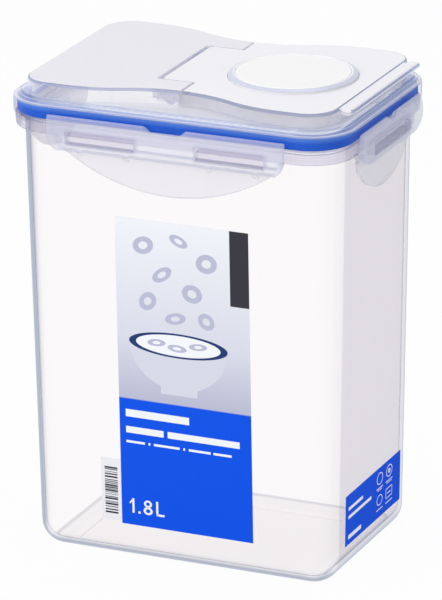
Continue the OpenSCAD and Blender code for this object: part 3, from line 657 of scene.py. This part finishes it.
class KEEPER_OT_cap(bpy.types.Operator):
    """The flip cap and its white plug"""
    bl_idname = "keeper.cap"
    bl_label = "Cap and plug"

    def execute(self, context):
        colours = context.scene.keeper_colours
        sizes = context.scene.keeper_sizes
        haze = [(DECK_Z, 1.3), (WALLS_TO, 1.3), (TOP_FROM, 2.1)]
        pale = [(DECK_Z, colours.frosted), (WALLS_TO, colours.frosted), (TOP_FROM, colours.cap_top)]
        frosted = clear_plastic("Frosted cap plastic", pale, 0.18, 1.0, FROSTED_PASS, 0.24, FROSTED_GRAIN,
                                haze_over=haze, lit_through=0.1)
        # The edge material paints shade on the cap's rounded edges and leaning steps
        edges = clear_plastic("Cap edge painted shade", colours.edge, 0.12, 0.4, SHADED_EDGE_PASS, 0.14, FROSTED_GRAIN,
                              lit_through=0.2)
        cap = softened_copy("Cap_shell", "flip_cap", sizes.edge, slopes=SHADED_EDGES)
        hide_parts("flip_cap")
        dress(cap, "cap", "frosted_lid", frosted, edges)
        self.plug(colours)
        return {"FINISHED"}

    def plug(self, colours):
        """The plug, with its disc's thin sunk ring and bevelled edge in the second material, whose darker
        colour is painted shade in the ring and on the bevel.
        """
        profile = self.plug_profile()
        r, z = ((profile[:-1] + profile[1:]) / 2).T
        ring = (np.abs(r - 23.25) < 0.2) & (z > 201.7)
        bevel = (r > 24.2) & (z > 200.9)
        faces = np.where(ring | bevel, SHADED_EDGES, PLAIN)
        plug = assemble("Plug_disc", [shell(turned(profile, SPOUT_X), material=faces)])
        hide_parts("push_plug")
        dress(plug, "cap", "white_plug",
              solid_plastic("White plug plastic", colours.plug, 0.38, shine=0.3),
              solid_plastic("Disc edge painted shade", colours.plug_painted_shade, 0.25, shine=0.5))

    def plug_profile(self):
        """Half section of the plug: the disc with its ring and bevelled edge, the spigot and the cup."""
        line = [(0.3, 202.0, 0), (22.9, 202.0, 0.1), (23.1, 201.75, 0.05), (23.4, 201.75, 0.05),
                (23.6, 202.0, 0.1), (24.0, 202.0, 0.3), (26.0, 201.2, 0.4), (26.0, 199.6, 0.2),
                (22.3, 199.6, 0.3), (22.3, 196.3, 0.3), (20.2, 196.3, 0.2), (19.6, 191.5, 0.5),
                (18.2, 191.5, 0.3), (18.2, 199.6, 0.5), (0.3, 199.6, 0)]
        line = np.array(line)
        return rounded(line[:, :2], line[:, 2], 5)


class KEEPER_OT_flaps(bpy.types.Operator):
    """The four latch flaps"""
    bl_idname = "keeper.flaps"
    bl_label = "Latch flaps"

    def execute(self, context):
        colours = context.scene.keeper_colours
        sizes = context.scene.keeper_sizes
        pale = [(BELOW_FLAPS, colours.tongue), (TONGUE_TO, colours.tongue), (BOX_FROM, colours.flap),
                (ABOVE_FLAPS, colours.flap)]
        frosted = clear_plastic("Frosted flap plastic", pale, 0.28, 0.75, FROSTED_PASS, 0.18, FROSTED_GRAIN,
                                lit_through=0.25)
        # The edge material paints shade on the flaps' bevelled edges
        edges = clear_plastic("Flap edge painted shade", colours.edge, 0.15, 0.5, SHADED_EDGE_PASS, 0.12, FROSTED_GRAIN,
                              lit_through=0.25)
        for side in ("front", "back", "left", "right"):
            flap = softened_copy("Flap_" + side, "flap_" + side, sizes.edge)
            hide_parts("flap_" + side)
            dress(flap, side + "_flap", "frosted_lid", frosted, edges)
        return {"FINISHED"}


# ------------------------ labels

def on_front(x, z, lift):
    """Points on the tub's leaning front wall, lift millimetres in front of it."""
    return np.stack([x, -(RIM_HY + wall_u(z)) - lift, z], axis=-1)


def on_right(x, z, lift):
    """Points on the tub's leaning right wall, x running along it towards the back."""
    return np.stack([RIM_HX + wall_u(z) + lift, x, z], axis=-1)


def slabs(place, boxes, low, high):
    """Thin plates from (x0, x1, z0, z1) rows: eight corners each, all worked out together."""
    boxes = np.asarray(boxes, float)
    x = boxes[:, [0, 1, 1, 0, 0, 1, 1, 0]]
    z = boxes[:, [2, 2, 3, 3, 2, 2, 3, 3]]
    lift = np.broadcast_to(np.repeat([low, high], 4), x.shape)
    faces = np.array([[0, 3, 2, 1], [4, 5, 6, 7], [0, 1, 5, 4], [1, 2, 6, 5], [2, 3, 7, 6], [3, 0, 4, 7]])
    faces = (np.arange(len(boxes))[:, None, None] * 8 + faces).reshape(-1, 4)
    return place(x, z, lift).reshape(-1, 3), faces.tolist(), np.zeros(len(faces))


def ovals(place, rows, low, high, steps=48):
    """Flat ovals and rings: a row is (x, z, half width, half height, inner share, tilt in degrees). The rim
    is (a cos t, b sin t) turned by the tilt; the inner rim is the same times the inner share."""
    rows = np.asarray(rows, float)[:, :, None, None]
    t = np.linspace(0, 2 * np.pi, steps, endpoint=False)[None, None]
    scale = np.concatenate([np.ones_like(rows[:, 4]), np.ones_like(rows[:, 4]), rows[:, 4], rows[:, 4]], 1)
    a, b, tilt = rows[:, 2] * scale, rows[:, 3] * scale, np.radians(rows[:, 5])
    p, q = a * np.cos(t), b * np.sin(t)
    x = rows[:, 0] + p * np.cos(tilt) - q * np.sin(tilt)
    z = rows[:, 1] + p * np.sin(tilt) + q * np.cos(tilt)
    lift = np.broadcast_to(np.array([low, high, high, low])[None, :, None], x.shape)
    faces = grid_faces(4, steps, closed=True)
    faces = (np.arange(len(rows))[:, None, None] * 4 * steps + faces).reshape(-1, 4)
    return place(x, z, lift).reshape(-1, 3), faces.tolist(), np.zeros(len(faces))


def plate(place, outline, low, high):
    """A thin plate with a closed (x, z) outline: its rim at two lifts, capped at both."""
    outline = np.asarray(outline, float)
    lift = np.array([low, high])[:, None]
    grid = place(np.broadcast_to(outline[:, 0], (2, len(outline))),
                 np.broadcast_to(outline[:, 1], (2, len(outline))),
                 np.broadcast_to(lift, (2, len(outline))))
    return shell(grid)


def capacity_number(place, x, z, height, low, high):
    """The plain number 1.8 and an L, from plates: upright bars, a slanted flag and two stacked ovals."""
    h, t = height, height * 0.15
    flag = [(x, z + 0.72 * h), (x + 0.22 * h, z + h), (x + 0.22 * h, z + 0.80 * h), (x, z + 0.60 * h)]
    bars = [(x + 0.18 * h, x + 0.18 * h + t, z, z + h), (x + 0.60 * h, x + 0.60 * h + t, z, z + t),
            (x + 1.86 * h, x + 1.86 * h + t, z, z + h), (x + 1.86 * h, x + 2.44 * h, z, z + t)]
    eight = [(x + 1.29 * h, z + 0.26 * h, 0.32 * h, 0.27 * h, 0.50, 0),
             (x + 1.29 * h, z + 0.74 * h, 0.28 * h, 0.255 * h, 0.48, 0)]
    return [plate(place, flag, low, high), slabs(place, bars, low, high), ovals(place, eight, low, high)]


def bar_pattern(low, high, count, seed):
    """Stacked bars of uneven widths between two heights, from seeded random widths; they encode nothing."""
    widths = np.random.default_rng(seed).choice([1.0, 1.0, 1.6, 2.4, 3.2], count * 2)
    edges = low + np.concatenate([[0], np.cumsum(widths)]) * (high - low) / widths.sum()
    return np.stack([edges[0:-1:2], edges[1::2]], axis=1)


class KEEPER_OT_labels(bpy.types.Operator):
    """The front label with a plain picture of a bowl and hoops, the small sticker and the side label"""
    bl_idname = "keeper.labels"
    bl_label = "Labels"

    def execute(self, context):
        colours = context.scene.keeper_colours
        art = context.scene.keeper_sizes.art / MM
        self.low, self.high = LABEL_T - PRINT_SUNK, LABEL_T + art
        self.films(colours)
        self.front_print(colours)
        self.side_print(colours)
        return {"FINISHED"}

    def printed(self, name, parts, material):
        """One printed colour on the labels, as thin plates."""
        dress(assemble(name, parts, 60.0), "tub", "blue_label", material)

    def films(self, colours):
        """The three films, each a thin plate on its wall; the sticker's box is its node's."""
        film = solid_plastic("Front label print", colours.label_blue, 0.45, shine=0.12, strength=0.02)
        middle = blend_of(colours.label_dusk, colours.label_sky, 0.55)
        tinted_over_height(film, [(FRONT_LABEL[2], colours.label_blue), (BLUE_TOP, colours.label_blue),
                                  (BLUE_TOP + 0.05, colours.label_dusk), (98.0, middle),
                                  (FRONT_LABEL[3], colours.label_sky)])
        blue = solid_plastic("Label blue print", colours.label_blue, 0.5, shine=0.03, strength=0.02)
        paper = solid_plastic("Sticker white paper", colours.paper, 0.6, shine=0.3, strength=0.02)
        for name, node_name, slot, place, box, mat in (
                ("Front_label_film", "front_label", "blue_label", on_front, FRONT_LABEL, film),
                ("Sticker_paper", "barcode_sticker", "white_sticker", on_front, None, paper),
                ("Side_label_film", "side_label", "blue_label", on_right, SIDE_LABEL, blue)):
            if box is None:
                low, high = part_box(node_name)
                box = (low[0] / MM, high[0] / MM, low[2] / MM, high[2] / MM)
                self.sticker = box
            piece = assemble(name, [slabs(place, [box], FILM_FROM, LABEL_T)], 60.0)
            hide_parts(node_name)
            dress(piece, "tub", slot, mat)

    def front_print(self, colours):
        """The front label's picture, bars and number, and the sticker's bars."""
        low, high = self.low, self.high
        white = label_ink("White label ink", colours.white_ink)
        dark = label_ink("Dark label ink", colours.ink)
        navy = label_ink("Navy label ink", colours.navy)
        bowl = label_ink("Bowl label ink", blend_of(colours.label_sky, colours.label_dusk, 0.5))
        hoop = label_ink("Hoop label ink", colours.label_dusk)
        # A bowl: the lower half of an oval, on a short foot, with a navy rim round its pale milk
        bowl_x, bowl_z = 1.5, 96.5
        turn = np.linspace(np.pi, 2 * np.pi, 40)
        cup = np.stack([bowl_x + 21.5 * np.cos(turn), bowl_z + 19.5 * np.sin(turn)], axis=1)
        foot = [(-6.5, 9.5, 75.2, 78.6)]
        behind_cup, over_print = high - 0.012, high + 0.015
        self.printed("Label_bowl", [plate(on_front, cup, low, high),
                                    slabs(on_front, foot, low, behind_cup)], bowl)
        rim = [(bowl_x, bowl_z, 21.6, 5.2, 0.86, 0)]
        self.printed("Label_bowl_rim", [ovals(on_front, rim, high, high + 0.03)], navy)
        inside = np.linspace(0, 2 * np.pi, 56, endpoint=False)
        milk = np.stack([bowl_x + 18.4 * np.cos(inside), bowl_z + 4.4 * np.sin(inside)], axis=1)
        self.printed("Label_milk", [plate(on_front, milk, high, over_print)], white)
        # Hoops that fall into it, and three that float
        hoops = [(-13.0, 137.5, 4.6, 3.6, 0.45, 20), (2.5, 141.0, 4.2, 2.2, 0.45, -25),
                 (14.5, 133.0, 4.6, 4.0, 0.45, 10), (-5.0, 126.0, 4.8, 2.6, 0.45, 35),
                 (8.0, 119.5, 4.4, 3.8, 0.45, -15), (-11.5, 114.0, 4.2, 3.4, 0.45, 50),
                 (0.5, 108.0, 4.6, 2.4, 0.45, 12), (14.0, 108.5, 3.8, 3.2, 0.45, -40)]
        afloat = [(-8.0, 96.8, 4.0, 1.5, 0.45, 4), (1.0, 95.4, 4.2, 1.5, 0.45, -3),
                  (10.2, 97.2, 4.0, 1.4, 0.45, 5)]
        self.printed("Label_hoops", [ovals(on_front, hoops, low, high),
                                     ovals(on_front, afloat, over_print, high + 0.04)], hoop)
        # The dark strip, and the stacked bars of the small sticker
        left, right, foot_z, head_z = self.sticker
        bars = bar_pattern(foot_z + 3.0, head_z - 3.5, count=22, seed=7)
        bars = np.column_stack([np.full(len(bars), left + 1.6), np.full(len(bars), right - 1.4), bars])
        strip = [(24.6, FRONT_LABEL[1], 116.6, FRONT_LABEL[3])]
        self.printed("Label_dark_print", [slabs(on_front, strip, low, high),
                                          slabs(on_front, bars, low, high)], dark)
        # Three large bars, a row of small ones, and the capacity as a plain number
        large = [(-22.4, 5.6, 63.2, 66.4), (-22.4, -5.8, 56.2, 59.0), (-4.0, 27.6, 56.2, 59.0)]
        edges = np.cumsum([0, 8.2, 1.6, 0.8, 1.6, 11.4, 1.6, 0.8, 1.6, 9.6, 1.2, 8.0]) - 22.4
        small = np.column_stack([edges[0:-1:2], edges[1::2], np.full(6, 51.9), np.full(6, 52.9)])
        self.printed("Label_white_print", [slabs(on_front, large, low, high),
                                           slabs(on_front, small, low, high),
                                           *capacity_number(on_front, -21.6, 21.4, 6.3, low, high)], white)

    def side_print(self, colours):
        """Small white bars, rings and squares on the side label."""
        low, high = self.low, self.high
        white = label_ink("White side ink", colours.white_ink)
        bars = [(-24.0, -9.0, 28.0, 29.4), (-24.0, 0.0, 24.4, 25.8), (-24.0, -10.5, 15.6, 17.4)]
        frames = [(15.6, 22.4, 18.6, 18.95), (15.6, 22.4, 22.65, 23.0), (15.6, 15.95, 18.6, 23.0),
                  (22.05, 22.4, 18.6, 23.0), (17.2, 20.8, 20.5, 20.9)]
        dashes = [(5.6, 12.4, 25.9, 26.3), (15.4, 22.6, 25.9, 26.3), (5.6, 12.4, 16.6, 17.0),
                  (15.4, 22.6, 16.6, 17.0), (6.6, 11.4, 25.1, 25.4), (16.4, 21.6, 25.1, 25.4)]
        rings = [(9.0, 30.2, 3.2, 2.6, 0.86, 0), (19.0, 30.2, 3.2, 2.6, 0.86, 0),
                 (9.0, 20.8, 3.0, 2.3, 0.86, 0), (19.0, 30.2, 1.2, 1.0, 0.3, 0)]
        self.printed("Side_label_print", [slabs(on_right, bars + frames + dashes, low, high),
                                          ovals(on_right, rings, low, high)], white)


# ------------------------ stage

class KEEPER_OT_stage(bpy.types.Operator):
    """The pale floor, the soft light and the camera"""
    bl_idname = "keeper.stage"
    bl_label = "Stage, light and camera"

    def execute(self, context):
        scene = context.scene
        scene.view_settings.view_transform = "Standard"
        scene.cycles.transparent_max_bounces = 48
        self.world(scene)
        self.floor()
        self.lamps(scene)
        self.camera(scene)
        return {"FINISHED"}

    def white_to_eye(self, tree):
        """1 for a ray of the camera, a mirror or a glass, and 0 for the light that falls on things."""
        path = node(tree, "ShaderNodeLightPath")
        seen = combined(tree, "MAXIMUM", path.outputs["Is Camera Ray"], path.outputs["Is Glossy Ray"])
        return combined(tree, "MAXIMUM", seen, path.outputs["Is Transmission Ray"])

    def world(self, scene):
        """White where the camera, a mirror ray or a glass ray looks, and a plain soft light elsewhere."""
        world = bpy.data.worlds.new("Studio")
        scene.world = world
        world.use_nodes = True
        tree = world.node_tree
        tree.nodes.clear()
        out = tree.nodes.new("ShaderNodeOutputWorld")
        seen = node(tree, "ShaderNodeBackground", {"Color": (1, 1, 1, 1), "Strength": 1.0})
        light = node(tree, "ShaderNodeBackground", {"Color": (1, 1, 1, 1), "Strength": 0.55})
        both = mixed(tree, self.white_to_eye(tree), light.outputs[0], seen.outputs[0])
        tree.links.new(both, out.inputs["Surface"])

    def floor(self):
        """A wide pale floor at the keeper's foot; most of what the camera sees of it is plain white."""
        half = 4000.0
        square = np.array([[-half, -half, 0], [half, -half, 0], [half, half, 0], [-half, half, 0]])
        floor = assemble("Studio_floor", [(square, [[0, 1, 2, 3]], np.zeros(1))])
        mat, tree, out = new_material("Studio floor")
        matt = node(tree, "ShaderNodeBsdfDiffuse", {"Color": (0.86, 0.86, 0.87, 1)})
        white = node(tree, "ShaderNodeEmission", {"Color": (1, 1, 1, 1), "Strength": 1.0})
        share = node(tree, "ShaderNodeMath", {1: 0.95}, operation="MULTIPLY")
        tree.links.new(self.white_to_eye(tree), share.inputs[0])
        both = mixed(tree, share.outputs[0], matt.outputs[0], white.outputs[0])
        tree.links.new(both, out.inputs["Surface"])
        floor.data.materials.append(mat)

    def lamps(self, scene):
        """A large soft box on the left, a weak one on the right and a top light, aimed at the middle."""
        aim = Vector((0, 0, 0.1))
        for name, place, size, power in (
                ("Key", (-0.8, -1.4, 1.1), 0.9, 15.0),
                ("Fill", (1.5, -0.5, 0.9), 0.9, 3.4),
                ("Top", (0.1, 0.3, 1.8), 1.2, 6.5)):
            lamp = bpy.data.lights.new(name, "AREA")
            lamp.size = size
            lamp.energy = power
            made = bpy.data.objects.new(name, lamp)
            made.location = place
            made.rotation_euler = (aim - Vector(place)).to_track_quat("-Z", "Y").to_euler()
            scene.collection.objects.link(made)

    def camera(self, scene):
        """The photograph's view: a long lens, aimed a little above the keeper's middle."""
        view = scene.keeper_view
        ca, sa = math.cos(view.azimuth), math.sin(view.azimuth)
        ce, se = math.cos(view.elevation), math.sin(view.elevation)
        back = Vector((sa * ce, -ca * ce, se))
        level = Vector((0, 0, 1)).cross(back).normalized()
        rise = back.cross(level)
        right = level * math.cos(view.roll) + rise * math.sin(view.roll)
        up = back.cross(right)
        aim = Vector((0, 0, view.aim_height)) + right * view.aim_side + up * view.aim_up
        data = bpy.data.cameras.new("Camera")
        data.sensor_fit = "VERTICAL"
        data.sensor_height = 24.0
        data.lens = view.lens
        data.clip_end = 20.0
        camera = bpy.data.objects.new("Camera", data)
        turn = Matrix((right, up, back)).transposed().to_4x4()
        camera.matrix_world = Matrix.Translation(aim + back * view.distance) @ turn
        scene.collection.objects.link(camera)
        scene.camera = camera


# ------------------------ panel and run

ORDER = ("tub", "lid", "cap", "flaps", "labels", "stage")


class KEEPER_PT_panel(bpy.types.Panel):
    """Lists the keeper's pieces in the 3D view's sidebar"""
    bl_label = "Flip-spout keeper"
    bl_idname = "KEEPER_PT_panel"
    bl_space_type = "VIEW_3D"
    bl_region_type = "UI"
    bl_category = "Keeper"

    def draw(self, context):
        for step in ORDER:
            self.layout.operator("keeper." + step)


CLASSES = (KeeperSizes, KeeperColours, KeeperView, KEEPER_OT_tub, KEEPER_OT_lid, KEEPER_OT_cap,
           KEEPER_OT_flaps, KEEPER_OT_labels, KEEPER_OT_stage, KEEPER_PT_panel)


def register():
    """Registers the classes and hangs the three property groups on the scene."""
    for cls in CLASSES:
        bpy.utils.register_class(cls)
    bpy.types.Scene.keeper_sizes = PointerProperty(type=KeeperSizes)
    bpy.types.Scene.keeper_colours = PointerProperty(type=KeeperColours)
    bpy.types.Scene.keeper_view = PointerProperty(type=KeeperView)


def unregister():
    """Takes the property groups and the classes away again."""
    del bpy.types.Scene.keeper_view
    del bpy.types.Scene.keeper_colours
    del bpy.types.Scene.keeper_sizes
    for cls in reversed(CLASSES):
        bpy.utils.unregister_class(cls)


def main():
    """Builds the keeper and its stage."""
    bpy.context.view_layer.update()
    register()
    for step in ORDER:
        getattr(bpy.ops.keeper, step)()


if __name__ == "__main__":
    main()
